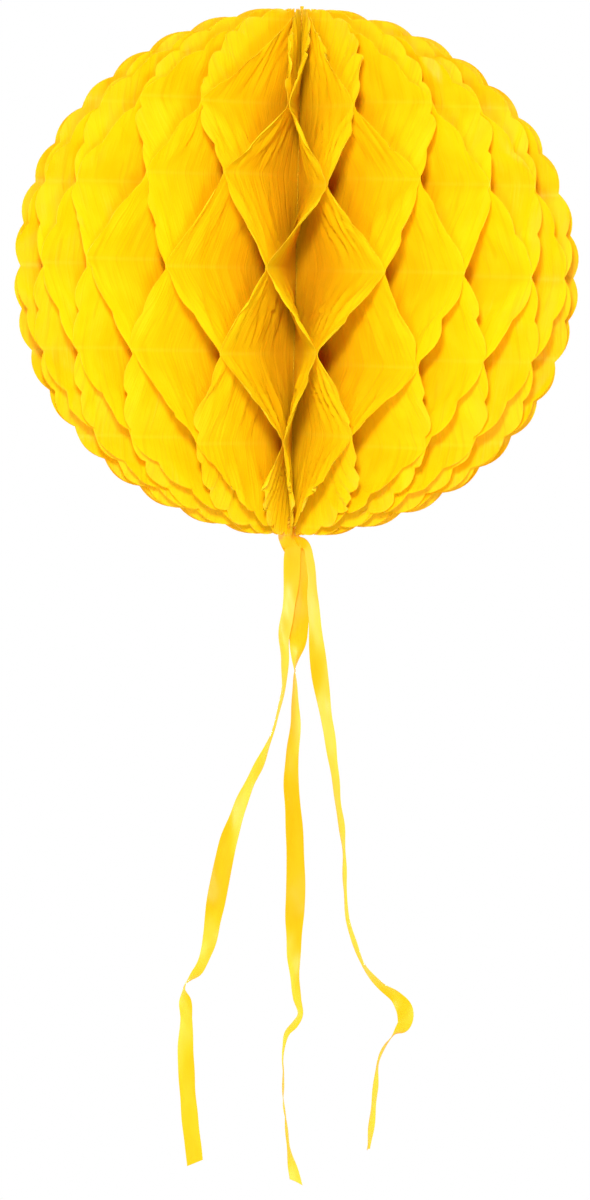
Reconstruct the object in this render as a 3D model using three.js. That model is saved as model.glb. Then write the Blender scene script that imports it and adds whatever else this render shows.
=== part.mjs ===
// A hanging honeycomb ball of tissue paper with three paper streamers.
// Millimetres, +Z up, front towards -Y. The origin is the upper end of the thread, where the ball hangs.
import * as THREE from "three";

const BALL_WIDTH = 300; // across the scallop tips at half height
const BALL_HEIGHT = 281; // from pole to pole
const PAPER = 0.25; // thickness of a leaf
const GLUE_GAP = 0.25; // room for the glue between two leaves
const LEAF_PAIRS = 19; // leaves come in pairs, so that each one meets a neighbour at every glue line
const FRONT_SPREAD = 0.14; // leaves stand this share wider apart at the front and back, closer at the sides
const FRONT_TURN = -4.4; // degrees from the front to the first glue line, before the leaves are spread
const GLUE_PITCH = 44.5; // height from one glue line to the next, the middle one at half height
const SCALLOPS = 19; // along the round edge of a leaf, with a notch at half height
const SCALLOP_DEPTH = 3;
const RECESS_DEPTH = 10; // hollow at each pole, for a knot
const THREAD_RADIUS = 1;
const KNOT_HEIGHT = 4.6;
const KNOT_GAP = 0.3; // between a knot and what lies against it
const STREAMER_WIDTH = 10.3;
const STREAMER_PAPER = 0.25;
const STREAMER_DROP = 346; // from the lower pole to the end of the longest streamer

// The way each streamer hangs. Each row is a point of its middle line: the drop below the lower pole, the way to
// the right and the way back from the axis, as shares of STREAMER_DROP, and the direction that the strip faces
// there, in degrees from the front towards the right. knotSide is the side of the knot where it is tied in.
const STREAMERS = {
  streamer_left: {
    knotSide: -48,
    rows: [
      [0.034, 0.005, -0.006, -38],
      [0.113, 0, -0.006, -52],
      [0.156, -0.006, -0.008, -56],
      [0.19, -0.003, -0.009, -68],
      [0.221, -0.004, -0.009, -76],
      [0.282, -0.015, -0.007, -86],
      [0.332, -0.031, -0.001, -76],
      [0.378, -0.053, 0.004, -63],
      [0.424, -0.07, 0.009, -49],
      [0.47, -0.084, 0.009, -30],
      [0.539, -0.097, 0.006, -9],
      [0.588, -0.105, -0.001, -31],
      [0.634, -0.112, -0.009, -48],
      [0.665, -0.124, -0.014, -62],
      [0.697, -0.147, -0.019, -84],
      [0.712, -0.145, -0.02, -52],
      [0.741, -0.142, -0.019, -50],
      [0.793, -0.142, -0.017, -36],
      [0.869, -0.136, -0.014, -33],
      [0.963, -0.124, -0.012, -32],
    ],
  },
  streamer_centre: {
    knotSide: 192,
    rows: [
      [0.034, 0.015, 0.01, 178],
      [0.118, 0.017, 0.009, 172],
      [0.156, 0.016, 0.008, 155],
      [0.187, 0.013, 0.005, 112],
      [0.207, 0.012, 0.003, 90],
      [0.279, 0.015, -0.003, 62],
      [0.363, 0.01, -0.006, 43],
      [0.45, 0.017, -0.006, 29],
      [0.539, 0.021, -0.005, 8],
      [0.6, 0.02, -0.003, -30],
      [0.654, 0.021, -0.002, -52],
      [0.708, 0.027, 0, -70],
      [0.734, 0.032, 0.001, -72],
      [0.748, 0.024, 0, -70],
      [0.761, 0.013, -0.002, -76],
      [0.784, 0.008, -0.003, -86],
      [0.83, 0.008, -0.004, -90],
      [0.895, 0.013, -0.004, -92],
      [0.95, 0.022, -0.003, -104],
      [1, 0.036, 0, -125],
    ],
  },
  streamer_right: {
    knotSide: 72,
    rows: [
      [0.034, 0.031, -0.004, 68],
      [0.092, 0.037, -0.006, 58],
      [0.15, 0.043, -0.007, 44],
      [0.207, 0.05, -0.008, 32],
      [0.279, 0.063, -0.007, 55],
      [0.335, 0.073, -0.005, 62],
      [0.404, 0.083, -0.002, 75],
      [0.47, 0.093, 0.001, 86],
      [0.539, 0.097, 0.002, 90],
      [0.585, 0.102, 0.002, 88],
      [0.62, 0.113, 0.001, 84],
      [0.659, 0.131, -0.002, 72],
      [0.685, 0.155, -0.005, 58],
      [0.703, 0.18, -0.009, 46],
      [0.723, 0.193, -0.01, 36],
      [0.743, 0.192, -0.01, 44],
      [0.758, 0.177, -0.009, 64],
      [0.774, 0.165, -0.007, 76],
      [0.8, 0.154, -0.005, 82],
      [0.846, 0.15, -0.003, 76],
      [0.884, 0.147, -0.002, 72],
      [0.937, 0.142, -0.001, 86],
    ],
  },
};

const PAPER_COLOUR = 0xffd600;
const STREAMER_COLOUR = 0xffe22e;
const THREAD_COLOUR = 0xf2e6b8;

const GLUE_REACH = 0.45; // a glue line shorter than this share of the ball's half width gets no fold of its own
const SPINE_LOOSENESS = 1.2; // times the room that the leaves fill around the axis
const KNOT_OVERHANG = 1; // knots are this much wider than the hollow along the axis
const RECESS_ROOM = 0.8;
const STREAMER_ROOM = 1; // beside each streamer where the three leave the knot
const STREAMER_STEPS = 44;
const THREAD_SIDES = 10;

const leafCount = 2 * LEAF_PAIRS;
const halfWidth = BALL_WIDTH / 2;
const halfHeight = BALL_HEIGHT / 2;
const glueInset = (PAPER + GLUE_GAP) / 2;
const fullTurn = 2 * Math.PI;
const spineRadius = (SPINE_LOOSENESS * leafCount * (PAPER + GLUE_GAP)) / (fullTurn * (1 - FRONT_SPREAD));
const spineEnd = halfHeight - RECESS_DEPTH;
const knotRadius = spineRadius + KNOT_OVERHANG;
const streamerRing = (STREAMER_WIDTH / 2 + STREAMER_ROOM) / Math.tan(Math.PI / 3);
const streamerReach = Math.hypot(streamerRing, STREAMER_WIDTH / 2);
const recessRadius = Math.max(knotRadius, streamerReach) + RECESS_ROOM;

// Closes a net of triangles into a thin sheet. Both faces list the same points, and each open edge gets a wall.
function sheetGeometry(topPoints, bottomPoints, triangles) {
  const count = topPoints.length;
  const indices = [];
  const edges = new Set(triangles.flatMap(([a, b, c]) => [`${a} ${b}`, `${b} ${c}`, `${c} ${a}`]));
  for (const [a, b, c] of triangles) {
    indices.push(a, b, c);
    indices.push(c + count, b + count, a + count);
    for (const [from, to] of [[a, b], [b, c], [c, a]]) {
      if (!edges.has(`${to} ${from}`)) {
        indices.push(to, from, from + count);
        indices.push(to, from + count, to + count);
      }
    }
  }
  const geometry = new THREE.BufferGeometry().setFromPoints([...topPoints, ...bottomPoints]);
  geometry.setIndex(indices);
  geometry.computeVertexNormals();
  return geometry;
}

// A point of the uncut oval in a leaf's plane, moved in by the given depth. X is the distance from the axis.
function ovalPoint(angle, depth) {
  const inward = new THREE.Vector2(-Math.cos(angle) / halfWidth, -Math.sin(angle) / halfHeight).normalize();
  const point = new THREE.Vector2(halfWidth * Math.cos(angle), halfHeight * Math.sin(angle));
  return point.addScaledVector(inward, depth);
}

// The scalloped edge from the lower recess to the upper one: a notch and two tip corners for each scallop.
function scallopedEdge() {
  const step = Math.PI / SCALLOPS / 3;
  const lastAngle = Math.acos(recessRadius / halfWidth);
  const lastCorner = Math.floor(lastAngle / step);
  const end = new THREE.Vector2(recessRadius, halfHeight * Math.sin(lastAngle));
  const edge = [new THREE.Vector2(end.x, -end.y)];
  for (let corner = -lastCorner; corner <= lastCorner; corner += 1) {
    const point = ovalPoint(corner * step, corner % 3 === 0 ? SCALLOP_DEPTH : 0);
    if (point.x > recessRadius + SCALLOP_DEPTH / 2) {
      edge.push(point);
    }
  }
  return [...edge, end];
}

// Heights of the glue lines that are long enough to fold the leaf.
function glueHeights() {
  const highest = halfHeight * Math.sqrt(1 - GLUE_REACH ** 2);
  const last = Math.floor(highest / GLUE_PITCH);
  return Array.from({ length: 2 * last + 1 }, (_, i) => (i - last) * GLUE_PITCH);
}

// The flat leaf as a net of triangles that is split along its glue lines.
function leafNet() {
  const edge = scallopedEdge();
  const bottom = edge[0];
  const top = edge[edge.length - 1];
  const points = [];
  const triangles = [];
  const addPoint = (x, y) => points.push(new THREE.Vector2(x, y)) - 1;
  const addBand = (border) => {
    const outline = border.map((i) => points[i]);
    for (const [a, b, c] of THREE.ShapeUtils.triangulateShape(outline, [])) {
      triangles.push([border[a], border[b], border[c]]);
    }
  };

  const lowerWall = [addPoint(spineRadius, -spineEnd), addPoint(recessRadius, -spineEnd)];
  let inner = lowerWall[0];
  let outer = [lowerWall[1], addPoint(bottom.x, bottom.y)];
  let next = 1;
  for (const height of glueHeights()) {
    while (edge[next].y < height - GLUE_GAP) {
      outer.push(addPoint(edge[next].x, edge[next].y));
      next += 1;
    }
    const before = points[outer[outer.length - 1]];
    const share = (height - before.y) / (edge[next].y - before.y);
    const outerEnd = addPoint(before.x + (edge[next].x - before.x) * share, height);
    const innerEnd = addPoint(spineRadius, height);
    addBand([inner, ...outer, outerEnd, innerEnd]);
    inner = innerEnd;
    outer = [outerEnd];
    if (edge[next].y < height + GLUE_GAP) {
      next += 1;
    }
  }
  for (const point of edge.slice(next, -1)) {
    outer.push(addPoint(point.x, point.y));
  }
  const upperWall = [addPoint(top.x, top.y), addPoint(recessRadius, spineEnd), addPoint(spineRadius, spineEnd)];
  addBand([inner, ...outer, ...upperWall]);
  return { points, triangles };
}

// Direction of the plane between two leaves, from the front towards the right.
function glueDirection(index) {
  const even = THREE.MathUtils.degToRad(FRONT_TURN) + (fullTurn * index) / leafCount;
  return even + (FRONT_SPREAD / 2) * Math.sin(2 * even);
}

// How far a leaf has crossed from the planes of the even glue lines, 0, to those of the odd ones, 1.
function foldShare(height) {
  const line = Math.floor(height / GLUE_PITCH);
  const share = height / GLUE_PITCH - line;
  return line % 2 === 0 ? share : 1 - share;
}

// A point of the flat leaf, folded into place between its two neighbours, on one face of the paper.
function foldedPoint(flat, leaf, face) {
  const inset = Math.asin(glueInset / flat.x);
  const from = glueDirection(leaf) + inset;
  const to = glueDirection(leaf + 1) - inset;
  const fold = foldShare(flat.y);
  const share = leaf % 2 === 0 ? fold : 1 - fold;
  const direction = from + (to - from) * share + face * Math.asin(PAPER / 2 / flat.x);
  return new THREE.Vector3(
    flat.x * Math.sin(direction),
    -flat.x * Math.cos(direction),
    flat.y - halfHeight,
  );
}

function leafGeometry(net, leaf) {
  const right = net.points.map((flat) => foldedPoint(flat, leaf, 1));
  const left = net.points.map((flat) => foldedPoint(flat, leaf, -1));
  const outward = net.triangles.map(([a, b, c]) => [a, c, b]);
  return sheetGeometry(right, left, outward);
}

// The thread with its knots, from the lower knot to the cut end at the top.
function threadGeometry() {
  const seat = spineEnd + KNOT_GAP;
  const profile = [
    [0, -seat - KNOT_HEIGHT],
    [0.6 * knotRadius, -seat - KNOT_HEIGHT],
    [knotRadius, -seat - 0.7 * KNOT_HEIGHT],
    [knotRadius, -seat - 0.3 * KNOT_HEIGHT],
    [THREAD_RADIUS, -seat],
    [THREAD_RADIUS, seat],
    [knotRadius, seat + 0.3 * KNOT_HEIGHT],
    [knotRadius, seat + 0.7 * KNOT_HEIGHT],
    [THREAD_RADIUS, seat + KNOT_HEIGHT],
    [THREAD_RADIUS, halfHeight],
    [0, halfHeight],
  ];
  const turned = new THREE.LatheGeometry(
    profile.map(([radius, height]) => new THREE.Vector2(radius, height)),
    THREAD_SIDES,
  );
  return turned.rotateX(Math.PI / 2).translate(0, 0, -halfHeight);
}

// A flat strip along a hanging middle line, turned to face each row's direction.
function streamerGeometry({ knotSide, rows }) {
  const side = THREE.MathUtils.degToRad(knotSide);
  const knotTop = -halfHeight - spineEnd - KNOT_GAP - KNOT_HEIGHT - KNOT_GAP;
  const inRecess = [knotTop, -BALL_HEIGHT].map(
    (height) => new THREE.Vector3(streamerRing * Math.sin(side), -streamerRing * Math.cos(side), height),
  );
  const hanging = rows.map(([drop, right, back]) => {
    const point = new THREE.Vector3(right, back, -drop).multiplyScalar(STREAMER_DROP);
    return point.setZ(point.z - BALL_HEIGHT);
  });
  const line = new THREE.CatmullRomCurve3([...inRecess, ...hanging]);
  const facings = [knotSide, knotSide, ...rows.map((row) => row[3])];
  const lastRow = facings.length - 1;

  const front = [];
  const rear = [];
  const triangles = [];
  for (let step = 0; step <= STREAMER_STEPS; step += 1) {
    const place = step / STREAMER_STEPS;
    const row = Math.min(Math.floor(place * lastRow), lastRow - 1);
    const facing = THREE.MathUtils.lerp(facings[row], facings[row + 1], place * lastRow - row);
    const angle = THREE.MathUtils.degToRad(facing);
    const middle = line.getPoint(place);
    const along = line.getTangent(place);
    const across = along.clone().cross(new THREE.Vector3(Math.sin(angle), -Math.cos(angle), 0)).normalize();
    const normal = across.clone().cross(along);
    for (const half of [-0.5, 0.5]) {
      const edgePoint = middle.clone().addScaledVector(across, half * STREAMER_WIDTH);
      front.push(edgePoint.clone().addScaledVector(normal, STREAMER_PAPER / 2));
      rear.push(edgePoint.clone().addScaledVector(normal, -STREAMER_PAPER / 2));
    }
    if (step > 0) {
      const corner = 2 * step;
      triangles.push([corner - 2, corner - 1, corner + 1], [corner - 2, corner + 1, corner]);
    }
  }
  return sheetGeometry(front, rear, triangles);
}

function addPiece(group, name, geometry, colour) {
  const material = new THREE.MeshStandardMaterial({ color: colour, roughness: 0.8 });
  const mesh = new THREE.Mesh(geometry, material);
  mesh.name = name;
  group.add(mesh);
}

const ball = new THREE.Group();
ball.name = "honeycomb_ball";
const net = leafNet();
for (let leaf = 0; leaf < leafCount; leaf += 1) {
  const number = String(leaf + 1).padStart(2, "0");
  addPiece(ball, `leaf_${number}`, leafGeometry(net, leaf), PAPER_COLOUR);
}
addPiece(ball, "spine_thread", threadGeometry(), THREAD_COLOUR);
for (const [name, streamer] of Object.entries(STREAMERS)) {
  addPiece(ball, name, streamerGeometry(streamer), STREAMER_COLOUR);
}

export default ball;
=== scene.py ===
"""The looks of a hanging honeycomb ball of tissue paper with three paper streamers.

Metres, +Z up, front towards -Y, in the frame of the solid model: the origin is the upper end of the thread.
"""
import math

import bpy
import numpy as np
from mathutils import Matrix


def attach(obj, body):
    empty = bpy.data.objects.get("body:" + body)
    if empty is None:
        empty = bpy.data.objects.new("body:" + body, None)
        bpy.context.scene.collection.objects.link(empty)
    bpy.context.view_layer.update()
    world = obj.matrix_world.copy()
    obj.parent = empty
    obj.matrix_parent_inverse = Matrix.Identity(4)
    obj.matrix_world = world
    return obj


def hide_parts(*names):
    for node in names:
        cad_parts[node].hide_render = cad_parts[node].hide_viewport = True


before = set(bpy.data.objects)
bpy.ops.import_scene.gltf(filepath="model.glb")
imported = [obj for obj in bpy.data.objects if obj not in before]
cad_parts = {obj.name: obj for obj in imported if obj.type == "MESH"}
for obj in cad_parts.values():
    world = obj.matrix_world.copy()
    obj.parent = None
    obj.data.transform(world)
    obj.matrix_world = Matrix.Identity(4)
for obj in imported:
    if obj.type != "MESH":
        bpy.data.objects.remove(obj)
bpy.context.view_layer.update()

SEED = 19
LEAF_SEED = 100  # of the first leaf; the others follow
SHARP_ANGLE = math.radians(60)  # edges of a mesh that bend more than this aren't smoothed

# Sizes of the solid model
BALL_HALF_WIDTH = 0.150
BALL_HALF_HEIGHT = 0.1405
GLUE_PITCH = 0.0445
GLUE_INSET = 0.00025  # from the middle of a glue line to the middle of a leaf
FRONT_SPREAD = 0.14  # share by which the leaves lie further apart at front and back and closer at the sides
FRONT_TURN = math.radians(-4.4)  # of the whole stack, from the front to the right
SCALLOPS = 19
SCALLOP_DEPTH = 0.003
SPINE_END = 0.1305
RECESS_RADIUS = 0.0071  # of the hollow around the knot at each pole
KNOT_RADIUS = 0.0052
KNOT_HEIGHT = 0.0046
KNOT_GAP = 0.0003
STREAMER_WIDTH = 0.0103
STREAMER_DROP = 0.346
STREAMER_RING = 0.0036

# Fineness and unevenness of the tissue leaves
TISSUE = 0.00016
SPINE_RADIUS = 0.0016  # smaller than in the solids: the tissue is thinner, so it reaches further in
RECESS_START = math.radians(78)  # rows of a leaf that end further up than this begin in the recess
RECESS_BEND = math.radians(82)  # and those beyond this begin at its wall
RECESS_DIP = 0.0017  # its floor falls by this much towards the thread
STEPS_PER_SCALLOP = 8
LEAF_COLUMNS = 38
EDGE_FINENESS = 1.5  # above 1, the columns lie closer together towards the round edge
GLUE_BAND = 0.0026  # height of the stretch where two leaves stick together
FOLD_EASE = 0.08  # 0 for straight walls between glue lines, 1 for walls that bend all the way
GLUE_LEVELS = 4  # above the middle one, and as many below it
NODE_TURN = math.radians(0.8)  # largest unevenness of a glue line
NODE_LIFT = 0.0018
GLUE_ROOM = 0.22  # at most this share of a leaf's room around the axis lies between it and its glue line
THREAD_SQUEEZE = 0.8  # half the tissue's thickness is at most this share of its way to the glue line

# Where the glue lines of the front end: plane, level, degrees to the right of an even place, metres above it
GLUE_ENDS = [
    (-6, 0, 0.5, 0.0023),
    (-4, 0, -1.0, 0.005),
    (-2, 0, -0.9, 0.0017),
    (0, 0, -1.0, 0.0019),
    (2, 0, 1.6, 0.001),
    (4, 0, -0.9, 0.0015),
    (6, 0, 0.4, 0.0),
    (-3, 1, 2.0, 0.006),
    (-1, 1, -0.3, 0.0066),
    (1, 1, 0.4, 0.0008),
    (3, 1, 0.0, 0.0052),
    (5, 1, -1.1, 0.0034),
    (7, 1, -2.0, 0.0034),
    (-7, -1, 2.0, 0.0016),
    (-5, -1, 1.8, 0.0026),
    (-3, -1, -0.4, 0.0023),
    (-1, -1, -0.1, 0.0013),
    (1, -1, -1.0, 0.0024),
    (3, -1, 0.5, -0.0039),
    (5, -1, -1.9, 0.0),
    (7, -1, -2.0, 0.0),
    (-1, 3, 10.0, 0.0025),
    (1, 3, -0.7, 0.0025),
    (-1, -3, 0.0, -0.008),
    (1, -3, -4.0, -0.004),
    (0, 2, 2.1, -0.0018),
    (2, 2, -2.4, -0.0019),
    (0, -2, 2.6, 0.0),
    (2, -2, -1.1, 0.0039),
]

# Ripples of the tissue: heights, and lengths of a wave outwards and upwards
BROAD_RIPPLE = 0.0011
BROAD_WAVE = (0.022, 0.09)
FINE_RIPPLE = 0.00035
FINE_WAVE = (0.009, 0.05)
WANDER = 0.006  # how far the ripples stray from upright lines
WANDER_WAVE = (0.12, 0.07)
RIPPLE_REACH = 0.055  # the ripples grow over this length, from nothing at the thread
EDGE_CURL = 0.0016
CURL_REACH = 0.008

# Distances from the round edge between which the tissue's colour grows darker, as painted shade for the deep
# inside of the ball
SHADE_START = 0.045
SHADE_END = 0.12

# Streamers: rows of (drop, right, back, facing), as shares of STREAMER_DROP and degrees from the front to the
# right. cut is how much further one corner of the end reaches than its middle.
STREAMER_PAPER = 0.0002
STREAMER_STEPS = 240
STREAMER_COLUMNS = 9
STREAMER_CAMBER = 0.0004
CAMBER_SWING = 31  # radians per metre, from hollow to bulging and back
STREAMER_RIPPLE = 0.0003
STREAMER_WAVE = (0.02, 0.03)
STREAMER_CALM = 0.03  # length below the knot over which the camber and the ripples grow
CUT_POWER = 24  # the higher, the closer the slanting cut keeps to the end
STREAMERS = {
    "streamer_left": {
        "knot_side": -48,
        "cut": 0.0015,
        "rows": [
            (0.011, 0.003, -0.008, -38),
            (0.034, 0.004, -0.006, -32),
            (0.113, 0, -0.006, -52),
            (0.156, -0.006, -0.008, -56),
            (0.19, -0.003, -0.009, -68),
            (0.221, -0.004, -0.009, -76),
            (0.282, -0.015, -0.007, -86),
            (0.332, -0.031, -0.001, -76),
            (0.378, -0.053, 0.004, -63),
            (0.424, -0.07, 0.009, -49),
            (0.47, -0.084, 0.009, -30),
            (0.539, -0.097, 0.006, -9),
            (0.588, -0.105, -0.001, -31),
            (0.634, -0.112, -0.009, -48),
            (0.665, -0.124, -0.014, -62),
            (0.697, -0.147, -0.019, -84),
            (0.712, -0.145, -0.02, -52),
            (0.741, -0.142, -0.019, -50),
            (0.793, -0.142, -0.017, -36),
            (0.869, -0.136, -0.014, -33),
            (0.963, -0.124, -0.012, -32),
        ],
    },
    "streamer_centre": {
        "knot_side": 192,
        "cut": 0.003,
        "rows": [
            (0.034, 0.015, 0.01, 178),
            (0.118, 0.017, 0.009, 172),
            (0.156, 0.016, 0.008, 155),
            (0.187, 0.013, 0.005, 112),
            (0.207, 0.012, 0.003, 90),
            (0.279, 0.015, -0.003, 62),
            (0.363, 0.01, -0.006, 43),
            (0.45, 0.017, -0.006, 29),
            (0.539, 0.021, -0.005, 8),
            (0.6, 0.02, -0.003, -30),
            (0.654, 0.021, -0.002, -52),
            (0.708, 0.027, 0, -70),
            (0.734, 0.032, 0.001, -72),
            (0.748, 0.024, 0, -70),
            (0.761, 0.013, -0.002, -76),
            (0.784, 0.008, -0.003, -86),
            (0.83, 0.008, -0.004, -90),
            (0.895, 0.013, -0.004, -92),
            (0.95, 0.022, -0.003, -104),
            (0.99, 0.032, 0, -125),
        ],
    },
    "streamer_right": {
        "knot_side": 72,
        "cut": 0.0,
        "rows": [
            (0.014, 0.026, -0.004, 70),
            (0.034, 0.031, -0.004, 66),
            (0.092, 0.037, -0.006, 58),
            (0.15, 0.043, -0.007, 44),
            (0.207, 0.05, -0.008, 32),
            (0.279, 0.063, -0.007, 55),
            (0.335, 0.073, -0.005, 62),
            (0.404, 0.083, -0.002, 72),
            (0.47, 0.093, 0.001, 78),
            (0.539, 0.097, 0.002, 80),
            (0.585, 0.102, 0.002, 80),
            (0.62, 0.113, 0.001, 79),
            (0.659, 0.131, -0.002, 77),
            (0.685, 0.155, -0.005, 74),
            (0.703, 0.18, -0.009, 58),
            (0.723, 0.193, -0.01, 38),
            (0.743, 0.192, -0.01, 44),
            (0.758, 0.177, -0.009, 76),
            (0.774, 0.165, -0.007, 82),
            (0.8, 0.154, -0.005, 83),
            (0.846, 0.15, -0.003, 74),
            (0.884, 0.147, -0.002, 72),
            (0.937, 0.142, -0.001, 80),
        ],
    },
}

# Thread of two twisted strands, knotted below and above the leaves
STRAND_RADIUS = 0.0006
STRAND_SPREAD = 0.85  # from the axis to the middle of a strand, in strand radii
STRAND_TWIST = 0.005  # length of a turn
STEPS_PER_TWIST = 8
STRAND_SIDES = 6
KNOT_STRAND = 0.001
KNOT_SWELL = 1.1  # times the swing that just fills the knot's height
KNOT_STEPS = 96
KNOT_SIDES = 8
COIL_STRAND = 0.0007  # the tail, wound around the axis below the leaves
COIL_RADIUS = 0.0016
COIL_TURNS = 6
STEPS_PER_COIL = 20
COIL_TOP = 0.1299  # below the middle of the ball
COIL_BOTTOM = 0.1374

# Photograph's frame of 590 by 1200 pixels
PIXEL = 0.00053  # at the ball
FRAME_HEIGHT = 1200 * PIXEL
BALL_ABOVE_MIDDLE = 328 * PIXEL
BALL_RIGHT_OF_MIDDLE = 1 * PIXEL
CAMERA_DISTANCE = 6.0
CAMERA_ROLL = math.radians(1.3)

# Stage
LAMP_DISTANCE = 3.2
FLOOR_DROP = 0.76
FLOOR_RADIUS = 1.5
FLOOR_SIDES = 96
FADE_START = 0.4  # shares of the floor's radius between which it fades away
FADE_END = 0.98

leaf_names = sorted(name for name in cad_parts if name.startswith("leaf_"))
leaf_count = len(leaf_names)
rng = np.random.default_rng(SEED)


# Materials

def new_material(name):
    material = bpy.data.materials.new(name)
    material.use_nodes = True
    material.node_tree.nodes.clear()
    return material


def add_node(tree, kind, inputs=None, **settings):
    """Adds a node. Inputs are given by name or number, as values or as sockets to link to."""
    node = tree.nodes.new(kind)
    for key, value in settings.items():
        setattr(node, key, value)
    for key, value in (inputs or {}).items():
        if isinstance(value, bpy.types.NodeSocket):
            tree.links.new(value, node.inputs[key])
        else:
            node.inputs[key].default_value = value
    return node


def worked_out(tree, operation, first, second=0.0):
    """The output of a math node with one or two inputs."""
    return add_node(tree, "ShaderNodeMath", {0: first, 1: second}, operation=operation).outputs[0]


def scaled(tree, place, scale):
    node = add_node(tree, "ShaderNodeVectorMath", {0: place, 1: scale}, operation="MULTIPLY")
    return node.outputs[0]


def noise(tree, place, scale, detail=2.0, distortion=0.0):
    """Noise from 0 to 1, with its own scale along each axis, in waves per metre."""
    node = add_node(
        tree,
        "ShaderNodeTexNoise",
        {"Vector": scaled(tree, place, scale), "Scale": 1.0, "Detail": detail, "Distortion": distortion},
    )
    return node.outputs[0]


def fitted(tree, value, low, high, to_low, to_high):
    """A value between low and high, brought smoothly to the range from to_low to to_high."""
    node = add_node(
        tree,
        "ShaderNodeMapRange",
        {"Value": value, "From Min": low, "From Max": high, "To Min": to_low, "To Max": to_high},
        interpolation_type="SMOOTHSTEP",
    )
    return node.outputs[0]


def blended(tree, share, first, second):
    """A colour between two, by the given share of the second."""
    node = add_node(tree, "ShaderNodeMix", data_type="RGBA")
    tree.links.new(share, node.inputs["Factor"])
    for socket, colour in ((node.inputs[6], first), (node.inputs[7], second)):
        if isinstance(colour, bpy.types.NodeSocket):
            tree.links.new(colour, socket)
        else:
            socket.default_value = (*colour, 1)
    return node.outputs[2]


def bumped(tree, height, distance, strength, under=None):
    inputs = {"Height": height, "Distance": distance, "Strength": strength}
    if under is not None:
        inputs["Normal"] = under
    return add_node(tree, "ShaderNodeBump", inputs).outputs[0]


def paper_shader(tree, colour, glow, normal, roughness, see_through, specular):
    """Thin paper: light is scattered back from it and, by the share see_through, through it."""
    surface = add_node(
        tree,
        "ShaderNodeBsdfPrincipled",
        {
            "Base Color": colour,
            "Roughness": roughness,
            "Diffuse Roughness": 1.0,
            "Normal": normal,
            "Specular IOR Level": specular,
            "Specular Tint": (1.0, 0.92, 0.55, 1.0),
        },
    )
    through = add_node(tree, "ShaderNodeBsdfTranslucent", {"Color": glow, "Normal": normal})
    mixed = add_node(
        tree,
        "ShaderNodeMixShader",
        {0: see_through, 1: surface.outputs[0], 2: through.outputs[0]},
    )
    add_node(tree, "ShaderNodeOutputMaterial", {"Surface": mixed.outputs[0]})


def tissue_material():
    """Crinkled tissue with fine creases from glue line to glue line. Painted shade darkens the creases and,
    towards the thread, the whole tissue; the glue bands are lighter, partly from the doubled tissue and
    partly as a painted sheen.
    """
    material = new_material("yellow_tissue")
    tree = material.node_tree
    flat = add_node(tree, "ShaderNodeUVMap", uv_map="Flat").outputs[0]
    place = add_node(tree, "ShaderNodeSeparateXYZ", {0: flat})
    radius = worked_out(tree, "FRACT", place.outputs[0])  # without the leaf's own shift by whole metres
    height = place.outputs[1]
    creases = noise(tree, flat, (380, 24, 0), detail=2, distortion=0.5)
    folds = noise(tree, flat, (150, 14, 0), detail=2, distortion=0.4)
    blotches = noise(tree, flat, (70, 55, 0), detail=2)
    to_glue = worked_out(tree, "PINGPONG", height, GLUE_PITCH / 2)
    glue_and_sheen_band = fitted(tree, to_glue, GLUE_BAND * 0.2, GLUE_BAND * 0.45, 1, 0)
    squared = worked_out(tree, "POWER", worked_out(tree, "DIVIDE", height, BALL_HALF_HEIGHT), 2)
    reach = worked_out(tree, "SQRT", worked_out(tree, "SUBTRACT", 1.0, squared))
    depth = worked_out(tree, "SUBTRACT", worked_out(tree, "MULTIPLY", reach, BALL_HALF_WIDTH), radius)

    deep = (0.955, 0.65, 0.002)
    clear = (0.97, 0.705, 0.003)
    # painted shade along the creases
    painted_crease_shade = (0.93, 0.54, 0.002)
    # glue bands: the doubled tissue, with a painted sheen
    glue_and_sheen = (0.98, 0.75, 0.02)
    # painted shade for the deep inside of the ball, near the thread
    painted_shade_colour = (0.86, 0.36, 0.003)
    base = blended(tree, fitted(tree, blotches, 0.3, 0.7, 0, 1), deep, clear)
    # painted shade: the tissue is darker along the crease lines, besides their bumps
    base = blended(tree, fitted(tree, creases, 0.52, 0.7, 0, 0.5), base, painted_crease_shade)
    # lighter, paler glue bands: partly the doubled glued tissue, partly a painted sheen along the glue lines
    base = blended(tree, fitted(tree, glue_and_sheen_band, 0, 1, 0, 0.3), base, glue_and_sheen)
    glow = blended(tree, fitted(tree, folds, 0.3, 0.7, 0, 1), deep, clear)
    # painted shade: darker and browner inward of the round edge, towards the thread, on the colour and on the
    # light through the tissue
    painted_shade_share = fitted(tree, depth, SHADE_START, SHADE_END, 0, 0.75)
    base = blended(tree, painted_shade_share, base, painted_shade_colour)
    glow = blended(tree, painted_shade_share, glow, painted_shade_colour)
    roughness = fitted(tree, blotches, 0.25, 0.75, 0.45, 0.6)
    normal = bumped(tree, folds, 0.0014, 0.6)
    normal = bumped(tree, creases, 0.0006, 0.85, normal)
    paper_shader(tree, base, glow, normal, roughness, see_through=0.18, specular=0.35)
    return material


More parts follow.
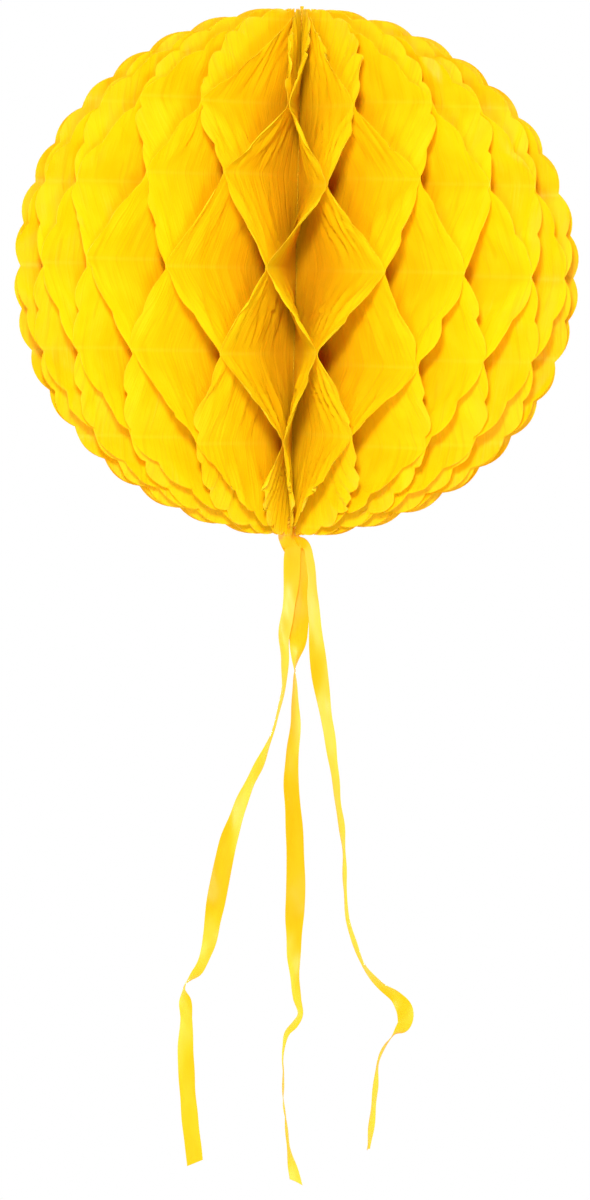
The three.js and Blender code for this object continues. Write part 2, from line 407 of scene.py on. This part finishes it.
def streamer_material():
    """Smoother paper with a soft sheen and a faint grain along the strip."""
    material = new_material("yellow_streamer_paper")
    tree = material.node_tree
    flat = add_node(tree, "ShaderNodeUVMap", uv_map="Flat").outputs[0]
    grain = noise(tree, flat, (900, 60, 0), detail=3)
    clouds = noise(tree, flat, (120, 30, 0), detail=2)
    fibres = noise(tree, flat, (2600, 2600, 0), detail=2)

    deep = (0.95, 0.585, 0.003)
    clear = (0.98, 0.635, 0.008)
    grained = (0.93, 0.51, 0.003)
    deep_glow = (0.95, 0.53, 0.004)
    clear_glow = (0.98, 0.59, 0.008)
    base = blended(tree, fitted(tree, clouds, 0.3, 0.7, 0, 1), deep, clear)
    base = blended(tree, fitted(tree, grain, 0.5, 0.75, 0, 0.3), base, grained)
    glow = blended(tree, fitted(tree, grain, 0.3, 0.7, 0, 1), deep_glow, clear_glow)
    roughness = fitted(tree, clouds, 0.25, 0.75, 0.38, 0.52)
    normal = bumped(tree, grain, 0.0002, 0.3)
    normal = bumped(tree, fibres, 0.00008, 0.3, normal)
    paper_shader(tree, base, glow, normal, roughness, see_through=0.3, specular=0.33)
    return material


def thread_material():
    material = new_material("golden_thread")
    tree = material.node_tree
    place = add_node(tree, "ShaderNodeTexCoord").outputs["Object"]
    fibres = noise(tree, place, (2500, 2500, 700), detail=3)
    dark = (0.8, 0.42, 0.01)
    light = (0.93, 0.6, 0.02)
    colour = blended(tree, fitted(tree, fibres, 0.3, 0.7, 0, 1), dark, light)
    surface = add_node(
        tree,
        "ShaderNodeBsdfPrincipled",
        {
            "Base Color": colour,
            "Roughness": fitted(tree, fibres, 0.2, 0.8, 0.65, 0.85),
            "Specular IOR Level": 0.1,
            "Normal": bumped(tree, fibres, 0.0001, 0.6),
        },
    )
    add_node(tree, "ShaderNodeOutputMaterial", {"Surface": surface.outputs[0]})
    return material


# Meshes

def sheet_object(name, middle, to_front, flat, material):
    """A thin closed sheet from a grid of points in its middle and the way from there to its front face.

    flat holds each point's place on the flat paper.
    """
    rows, columns = middle.shape[:2]
    count = rows * columns
    points = np.concatenate([(middle + to_front).reshape(-1, 3), (middle - to_front).reshape(-1, 3)])
    index = np.arange(count).reshape(rows, columns)
    front = np.stack([index[:-1, :-1], index[1:, :-1], index[1:, 1:], index[:-1, 1:]], -1).reshape(-1, 4)
    same_corner_first = [0, 3, 2, 1]
    back = front[:, same_corner_first] + count  # so both faces are split into triangles along the same lines
    border = np.concatenate([index[:-1, 0], index[-1, :-1], index[:0:-1, -1], index[0, :0:-1]])
    following = np.roll(border, -1)
    rim = np.stack([following, border, border + count, following + count], -1)
    faces = np.concatenate([front, back, rim])

    mesh = bpy.data.meshes.new(name)
    mesh.from_pydata(points.tolist(), [], faces.tolist())
    corners = faces.ravel()
    flat_map = mesh.uv_layers.new(name="Flat")
    flat_points = flat.reshape(-1, 2)
    flat_map.data.foreach_set("uv", flat_points[corners % count].astype(np.float32).ravel())
    bake_map = mesh.uv_layers.new(name="OFBake")
    bake_map.data.foreach_set("uv", bake_places(rows, columns, front, back, len(border)).ravel())
    mesh.polygons.foreach_set("use_smooth", np.ones(len(faces), bool))
    mesh.set_sharp_from_angle(angle=SHARP_ANGLE)
    mesh.materials.append(material)
    mesh.validate()
    piece = bpy.data.objects.new(name, mesh)
    bpy.context.scene.collection.objects.link(piece)
    return piece


def bake_places(rows, columns, front, back, rim_steps):
    """A map with about half of the square for each face of a sheet and a strip between them for its rim."""
    margin = 0.006
    half = 0.482
    rim_left = 0.495
    rim_right = 0.505
    across, along = np.meshgrid(np.linspace(0, 1, columns), np.linspace(margin, 1 - margin, rows))
    front_places = np.stack([margin + (half - margin) * across, along], -1).reshape(-1, 2)
    back_places = np.stack([1 - margin - (half - margin) * across, along], -1).reshape(-1, 2)
    steps = np.linspace(margin, 1 - margin, rim_steps + 1)
    rim_places = np.empty((rim_steps, 4, 2))
    rim_places[:, :, 0] = (rim_left, rim_left, rim_right, rim_right)
    rim_places[:, :, 1] = np.stack([steps[1:], steps[:-1], steps[:-1], steps[1:]], -1)
    places = [
        front_places[front].reshape(-1, 2),
        back_places[back - rows * columns].reshape(-1, 2),
        rim_places.reshape(-1, 2),
    ]
    return np.concatenate(places).astype(np.float32)


def ripples(source, across, along, wave, count=9):
    """An uneven field, mostly from -1 to 1: waves of about the given two lengths, in random phase."""
    field = np.zeros(np.broadcast(across, along).shape)
    for _ in range(count):
        stretch = source.uniform(0.6, 1.6, 2) * (1, source.choice((-1, 1)))
        phase = source.uniform(0, 2 * math.pi)
        turns = across * stretch[0] / wave[0] + along * stretch[1] / wave[1]
        field += np.sin(2 * math.pi * turns + phase)
    return field / math.sqrt(count)


def smooth_through(knots, values, at):
    """Values on a smooth curve through the given ones, with its slopes taken from their neighbours."""
    slopes = np.gradient(values, knots, axis=0)
    before = np.clip(np.searchsorted(knots, at, side="right") - 1, 0, len(knots) - 2)
    gap = knots[before + 1] - knots[before]
    share = (at - knots[before]) / gap
    if values.ndim > 1:
        gap = gap[:, None]
        share = share[:, None]
    start = values[before] * (1 + 2 * share) * (1 - share) ** 2
    end = values[before + 1] * share**2 * (3 - 2 * share)
    bend = slopes[before] * share * (1 - share) ** 2 - slopes[before + 1] * share**2 * (1 - share)
    return start + end + gap * bend


# Leaves of the ball

def glue_direction(plane):
    """Direction of a plane of glue lines between two leaves, from the front to the right."""
    even = FRONT_TURN + 2 * math.pi * plane / leaf_count
    return even + FRONT_SPREAD / 2 * np.sin(2 * even)


def flat_leaf():
    """The flat leaf as a grid of rows from the axis to the round edge.

    Gives each point's distance from the axis, height and distance from the round edge, then each row's place
    across its scallop, from -1 to 1, and the number of that scallop.
    """
    scallop = math.pi / SCALLOPS
    last = math.acos(RECESS_RADIUS / BALL_HALF_WIDTH)
    count = int(last / scallop * STEPS_PER_SCALLOP)
    steps = np.arange(-count, count + 1) * scallop / STEPS_PER_SCALLOP
    angles = np.concatenate([[-last], steps, [last]])
    lobe = 2 * (angles / scallop % 1) - 1
    oval = np.stack([BALL_HALF_WIDTH * np.cos(angles), BALL_HALF_HEIGHT * np.sin(angles)], -1)
    inward = -np.stack([np.cos(angles) / BALL_HALF_WIDTH, np.sin(angles) / BALL_HALF_HEIGHT], -1)
    inward /= np.linalg.norm(inward, axis=1, keepdims=True)
    edge = oval + inward * (SCALLOP_DEPTH * lobe**2)[:, None]
    edge[:, 0] = np.maximum(edge[:, 0], RECESS_RADIUS)
    up = np.abs(angles)
    spine_end = SPINE_END - RECESS_DIP
    wall_end = edge[-1, 1] - SCALLOP_DEPTH / 4
    in_recess = np.interp(up, (RECESS_START, RECESS_BEND, last), (spine_end, SPINE_END, wall_end))
    at_spine = spine_end * np.sin(up) / math.sin(RECESS_START)
    start_height = np.where(up < RECESS_START, at_spine, in_recess)
    start_radius = np.interp(up, (RECESS_START, RECESS_BEND), (SPINE_RADIUS, RECESS_RADIUS))
    start = np.stack([start_radius, np.sign(angles) * start_height], -1)
    share = 1 - (1 - np.linspace(0, 1, LEAF_COLUMNS)) ** EDGE_FINENESS
    points = start[:, None] + (edge - start)[:, None] * share[None, :, None]
    from_edge = np.linalg.norm(edge - start, axis=1)[:, None] * (1 - share)
    return points[..., 0], points[..., 1], from_edge, lobe[:, None], np.floor(angles / scallop).astype(int)


def folded_leaf(leaf, sheet, node_turn, node_lift, material):
    """One leaf: it swings from the glue line on its left to the one on its right and back, up the ball."""
    radius, height, from_edge, lobe, scallop = sheet
    source = np.random.default_rng(LEAF_SEED + leaf)
    levels = np.arange(-GLUE_LEVELS, GLUE_LEVELS + 1)
    on_left = (leaf + levels) % 2 == 0
    planes = np.where(on_left, leaf, leaf + 1)
    node_heights = levels * GLUE_PITCH + node_lift[planes % leaf_count, levels + GLUE_LEVELS]
    node_directions = glue_direction(planes) + node_turn[planes % leaf_count, levels + GLUE_LEVELS]
    node_sides = np.where(on_left, 1, -1)

    band_ends = (node_heights[:, None] + np.array([-0.5, 0.5]) * GLUE_BAND).ravel()
    progress = np.interp(height, band_ends, np.repeat(levels, 2))
    below = np.clip(np.floor(progress).astype(int), -GLUE_LEVELS, GLUE_LEVELS - 1)
    share = progress - below
    share = share + FOLD_EASE * (share**2 * (3 - 2 * share) - share)
    start = below + GLUE_LEVELS
    direction = node_directions[start] + (node_directions[start + 1] - node_directions[start]) * share
    side = node_sides[start] + (node_sides[start + 1] - node_sides[start]) * share
    free = 4 * share * (1 - share)  # 0 on the glue lines and 1 halfway between them

    flat_height = np.interp(height, node_heights, levels * GLUE_PITCH)
    from_spine = np.clip((radius - SPINE_RADIUS) / RIPPLE_REACH, 0, 1)
    strayed = radius + WANDER * ripples(source, radius, height, WANDER_WAVE, count=4)
    shift = BROAD_RIPPLE * ripples(source, strayed, height, BROAD_WAVE)
    shift += FINE_RIPPLE * ripples(source, strayed, height, FINE_WAVE)
    lean = source.uniform(-1, 1, scallop.max() - scallop.min() + 1)[scallop - scallop.min()]
    shift += EDGE_CURL * lean[:, None] * (1 - lobe**2) * np.exp(-from_edge / CURL_REACH)
    shift *= free * from_spine

    inset = np.minimum(GLUE_INSET / radius, GLUE_ROOM * 2 * math.pi / leaf_count)
    direction = direction + side * inset + shift / radius
    outward = np.stack([np.sin(direction), -np.cos(direction), np.zeros_like(direction)], -1)
    sideways = np.stack([np.cos(direction), np.sin(direction), np.zeros_like(direction)], -1)
    middle = outward * radius[..., None]
    middle[..., 2] = height - BALL_HALF_HEIGHT
    flat = np.stack([radius + leaf, flat_height], -1)  # each leaf a metre on, so that no two crease alike
    half_thickness = np.minimum(TISSUE / 2, THREAD_SQUEEZE * inset * radius)
    to_front = sideways * half_thickness[..., None]
    return sheet_object("tissue_" + leaf_names[leaf], middle, to_front, flat, material)


def make_leaves():
    material = tissue_material()
    sheet = flat_leaf()
    node_turn = rng.uniform(-1, 1, (leaf_count, 2 * GLUE_LEVELS + 1)) * NODE_TURN
    node_lift = rng.uniform(-1, 1, (leaf_count, 2 * GLUE_LEVELS + 1)) * NODE_LIFT
    for plane, level, turn, lift in GLUE_ENDS:
        node_turn[plane % leaf_count, level + GLUE_LEVELS] = math.radians(turn)
        node_lift[plane % leaf_count, level + GLUE_LEVELS] = lift
    for leaf, node in enumerate(leaf_names):
        piece = folded_leaf(leaf, sheet, node_turn, node_lift, material)
        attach(piece, "root")
        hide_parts(node)


# Streamers

def streamer_line(knot_side, rows):
    """Points of a strip's middle line and the direction that it faces at each, from the knot down."""
    side = math.radians(knot_side)
    ring = (STREAMER_RING * math.sin(side), -STREAMER_RING * math.cos(side))
    knot = BALL_HALF_HEIGHT + SPINE_END + KNOT_HEIGHT + 2 * KNOT_GAP
    points = [(*ring, -knot), (*ring, -2 * BALL_HALF_HEIGHT)]
    facings = [knot_side, knot_side]
    for drop, right, back, facing in rows:
        place = np.array([right, back, -drop]) * STREAMER_DROP
        points.append((place[0], place[1], place[2] - 2 * BALL_HALF_HEIGHT))
        facings.append(facing)
    points = np.array(points)
    along = np.concatenate([[0], np.cumsum(np.linalg.norm(np.diff(points, axis=0), axis=1))])
    return along, points, np.radians(np.array(facings, float))


def hanging_streamer(name, knot_side, rows, cut, material):
    """A strip along a hanging line, and its length."""
    source = np.random.default_rng(len(rows) * 7 + abs(knot_side))
    along, points, facings = streamer_line(knot_side, rows)
    at = np.linspace(0, along[-1], STREAMER_STEPS)
    line = smooth_through(along, points, at)
    facing = smooth_through(along, facings, at)
    forward = np.gradient(line, at, axis=0)
    forward /= np.linalg.norm(forward, axis=1, keepdims=True)
    normal = np.stack([np.sin(facing), -np.cos(facing), np.zeros_like(facing)], -1)
    across = np.cross(forward, normal)
    across /= np.linalg.norm(across, axis=1, keepdims=True)
    face = np.cross(forward, across)

    width = np.linspace(-1, 1, STREAMER_COLUMNS)
    offset = width * STREAMER_WIDTH / 2
    camber = STREAMER_CAMBER * (1 - width**2) * np.sin(at * CAMBER_SWING + knot_side)[:, None]
    camber += STREAMER_RIPPLE * ripples(source, offset[None, :], at[:, None], STREAMER_WAVE, count=7)
    camber *= np.clip(at / STREAMER_CALM, 0, 1)[:, None]
    reach = cut * width * (at / at[-1])[:, None] ** CUT_POWER
    middle = line[:, None] + across[:, None] * offset[None, :, None]
    middle += face[:, None] * camber[..., None] + forward[:, None] * reach[..., None]
    flat = np.stack(np.broadcast_arrays(offset[None, :] + abs(knot_side), at[:, None]), -1)
    to_front = np.broadcast_to(face[:, None] * STREAMER_PAPER / 2, middle.shape)
    length = float(np.linalg.norm(np.diff(line, axis=0), axis=1).sum())
    return sheet_object("paper_" + name, middle, to_front, flat, material), length


def make_streamers():
    material = streamer_material()
    for name, streamer in STREAMERS.items():
        piece, length = hanging_streamer(
            name, streamer["knot_side"], streamer["rows"], streamer["cut"], material
        )
        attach(piece, "root")
        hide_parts(name)


# Thread

def tube(points, radius, sides, closed):
    """Points and faces of a tube along a line. An open one gets a flat cap at each end."""
    count = len(points)
    if closed:
        forward = np.roll(points, -1, axis=0) - np.roll(points, 1, axis=0)
    else:
        forward = np.gradient(points, axis=0)
    forward /= np.linalg.norm(forward, axis=1, keepdims=True)
    steep = 0.9
    guide = np.where(np.abs(forward[:, 2:]) < steep, (0.0, 0.0, 1.0), (1.0, 0.0, 0.0))
    first = np.cross(forward, guide)
    first /= np.linalg.norm(first, axis=1, keepdims=True)
    second = np.cross(forward, first)
    turn = np.linspace(0, 2 * math.pi, sides, endpoint=False)
    ring = np.cos(turn)[None, :, None] * first[:, None] + np.sin(turn)[None, :, None] * second[:, None]
    skin = (points[:, None] + radius * ring).reshape(-1, 3)
    faces = []
    for row in range(count if closed else count - 1):
        next_row = (row + 1) % count
        for side in range(sides):
            next_side = (side + 1) % sides
            corners = ((row, side), (next_row, side), (next_row, next_side), (row, next_side))
            faces.append([a * sides + b for a, b in reversed(corners)])
    if not closed:
        faces.append(list(range(sides)))
        faces.append([(count - 1) * sides + side for side in reversed(range(sides))])
    return skin, faces


def make_thread():
    """Two strands twisted about the axis, with a knot at each pole and a wound tail at the lower one."""
    bottom = -BALL_HALF_HEIGHT - SPINE_END - KNOT_GAP - KNOT_HEIGHT / 2
    heights = np.linspace(bottom, 0, int(-bottom / STRAND_TWIST * STEPS_PER_TWIST))
    turn = 2 * math.pi * heights / STRAND_TWIST
    parts = []
    for half_turn in (0, math.pi):
        strand = np.stack(
            [
                STRAND_RADIUS * STRAND_SPREAD * np.cos(turn + half_turn),
                STRAND_RADIUS * STRAND_SPREAD * np.sin(turn + half_turn),
                heights,
            ],
            -1,
        )
        parts.append(tube(strand, STRAND_RADIUS, STRAND_SIDES, closed=False))
    wound = np.linspace(0, 2 * math.pi * COIL_TURNS, STEPS_PER_COIL * COIL_TURNS)
    fall = np.linspace(COIL_TOP, COIL_BOTTOM, len(wound)) + BALL_HALF_HEIGHT
    coil = np.stack([COIL_RADIUS * np.cos(wound), COIL_RADIUS * np.sin(wound), -fall], -1)
    parts.append(tube(coil, COIL_STRAND, KNOT_SIDES, closed=False))
    loop = np.linspace(0, 2 * math.pi, KNOT_STEPS, endpoint=False)
    swing = (KNOT_HEIGHT / 2 - KNOT_STRAND) * KNOT_SWELL
    turns = 2
    swings = 3
    reach = KNOT_RADIUS - KNOT_STRAND - swing + swing * np.cos(swings * loop)
    for pole in (-1, 1):
        middle = pole * (SPINE_END + KNOT_GAP + KNOT_HEIGHT / 2) - BALL_HALF_HEIGHT
        height = middle + swing * np.sin(swings * loop)
        knot = np.stack([reach * np.cos(turns * loop), reach * np.sin(turns * loop), height], -1)
        parts.append(tube(knot, KNOT_STRAND, KNOT_SIDES, closed=True))
    points = np.concatenate([skin for skin, _ in parts])
    faces = []
    first = 0
    for skin, skin_faces in parts:
        faces += [[corner + first for corner in face] for face in skin_faces]
        first += len(skin)
    mesh = bpy.data.meshes.new("twisted_thread")
    mesh.from_pydata(points.tolist(), [], faces)
    mesh.polygons.foreach_set("use_smooth", np.ones(len(faces), bool))
    mesh.set_sharp_from_angle(angle=SHARP_ANGLE)
    mesh.materials.append(thread_material())
    piece = bpy.data.objects.new("twisted_thread", mesh)
    bpy.context.scene.collection.objects.link(piece)
    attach(piece, "root")
    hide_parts("spine_thread")


# Stage

def make_floor():
    """A round pale floor that fades into the white around it. From below it can't be seen."""
    mesh = bpy.data.meshes.new("floor")
    turn = np.linspace(0, 2 * math.pi, FLOOR_SIDES, endpoint=False)
    level = np.full(FLOOR_SIDES, -FLOOR_DROP)
    ring = np.stack([FLOOR_RADIUS * np.cos(turn), FLOOR_RADIUS * np.sin(turn), level], -1)
    mesh.from_pydata(ring.tolist(), [], [list(range(FLOOR_SIDES))])
    material = new_material("pale_floor")
    tree = material.node_tree
    place = add_node(tree, "ShaderNodeTexCoord").outputs["Object"]
    beside = scaled(tree, place, (1, 1, 0))
    from_axis = add_node(tree, "ShaderNodeVectorMath", {0: beside}, operation="LENGTH").outputs["Value"]
    grain = noise(tree, place, (60, 60, 60), detail=3)
    pale = blended(tree, grain, (0.7, 0.7, 0.7), (0.74, 0.74, 0.74))
    surface = add_node(tree, "ShaderNodeBsdfDiffuse", {"Color": pale})
    clear = add_node(tree, "ShaderNodeBsdfTransparent")
    fade = fitted(tree, from_axis, FLOOR_RADIUS * FADE_START, FLOOR_RADIUS * FADE_END, 0, 1)
    from_below = add_node(tree, "ShaderNodeNewGeometry").outputs["Backfacing"]
    unseen = worked_out(tree, "MAXIMUM", fade, from_below)
    mixed = add_node(tree, "ShaderNodeMixShader", {0: unseen, 1: surface.outputs[0], 2: clear.outputs[0]})
    add_node(tree, "ShaderNodeOutputMaterial", {"Surface": mixed.outputs[0]})
    mesh.materials.append(material)
    floor = bpy.data.objects.new("floor", mesh)
    bpy.context.scene.collection.objects.link(floor)


def make_world(strength):
    """White to look at, and an even soft light of the given strength."""
    world = bpy.data.worlds.new("studio")
    world.use_nodes = True
    tree = world.node_tree
    tree.nodes.clear()
    path = add_node(tree, "ShaderNodeLightPath")
    seen = path.outputs["Is Camera Ray"]
    for kind in ("Is Glossy Ray", "Is Transmission Ray"):
        seen = worked_out(tree, "MAXIMUM", seen, path.outputs[kind])
    light = add_node(tree, "ShaderNodeBackground", {"Color": (1, 1, 1, 1), "Strength": strength})
    white = add_node(tree, "ShaderNodeBackground", {"Color": (1, 1, 1, 1), "Strength": 1.0})
    mixed = add_node(tree, "ShaderNodeMixShader", {0: seen, 1: light.outputs[0], 2: white.outputs[0]})
    add_node(tree, "ShaderNodeOutputWorld", {"Surface": mixed.outputs[0]})
    bpy.context.scene.world = world


def add_lamp(name, azimuth, elevation, power, size):
    """A square soft lamp that points at the middle of the ball. Azimuth runs from the front to the right."""
    lamp = bpy.data.lights.new(name, "AREA")
    lamp.energy = power
    lamp.size = size
    holder = bpy.data.objects.new(name, lamp)
    turn = math.radians(azimuth)
    tilt = math.radians(elevation)
    holder.location = (
        LAMP_DISTANCE * math.cos(tilt) * math.sin(turn),
        -LAMP_DISTANCE * math.cos(tilt) * math.cos(turn),
        LAMP_DISTANCE * math.sin(tilt) - BALL_HALF_HEIGHT,
    )
    holder.rotation_euler = (math.pi / 2 - tilt, 0, turn)
    holder.visible_camera = False
    bpy.context.scene.collection.objects.link(holder)


def make_camera():
    """Level with the middle of the ball, and far off, so that its glue lines look straight."""
    camera = bpy.data.cameras.new("camera")
    camera.lens = camera.sensor_width * CAMERA_DISTANCE / FRAME_HEIGHT
    camera.clip_end = 50
    holder = bpy.data.objects.new("camera", camera)
    holder.location = (-BALL_RIGHT_OF_MIDDLE, -CAMERA_DISTANCE, -BALL_HALF_HEIGHT)
    down = math.atan(BALL_ABOVE_MIDDLE / CAMERA_DISTANCE)
    holder.rotation_euler = (math.pi / 2 - down, -CAMERA_ROLL, 0)
    bpy.context.scene.collection.objects.link(holder)
    bpy.context.scene.camera = holder


make_camera()
make_leaves()
make_streamers()
make_thread()
make_floor()
make_world(strength=0.4)
add_lamp("front_softbox", azimuth=-1.5, elevation=7, power=65, size=0.2)
add_lamp("low_softbox", azimuth=0, elevation=-8, power=28, size=0.4)
add_lamp("left_softbox", azimuth=-98, elevation=1, power=96, size=1.0)
add_lamp("right_softbox", azimuth=98, elevation=1, power=90, size=1.0)
add_lamp("back_softbox", azimuth=180, elevation=1, power=90, size=1.0)
add_lamp("top_softbox", azimuth=0, elevation=68, power=26, size=1.0)
bpy.context.scene.view_settings.view_transform = "Standard"
bpy.context.scene.cycles.max_bounces = 24
bpy.context.scene.cycles.diffuse_bounces = 14
bpy.context.scene.cycles.transmission_bounces = 24
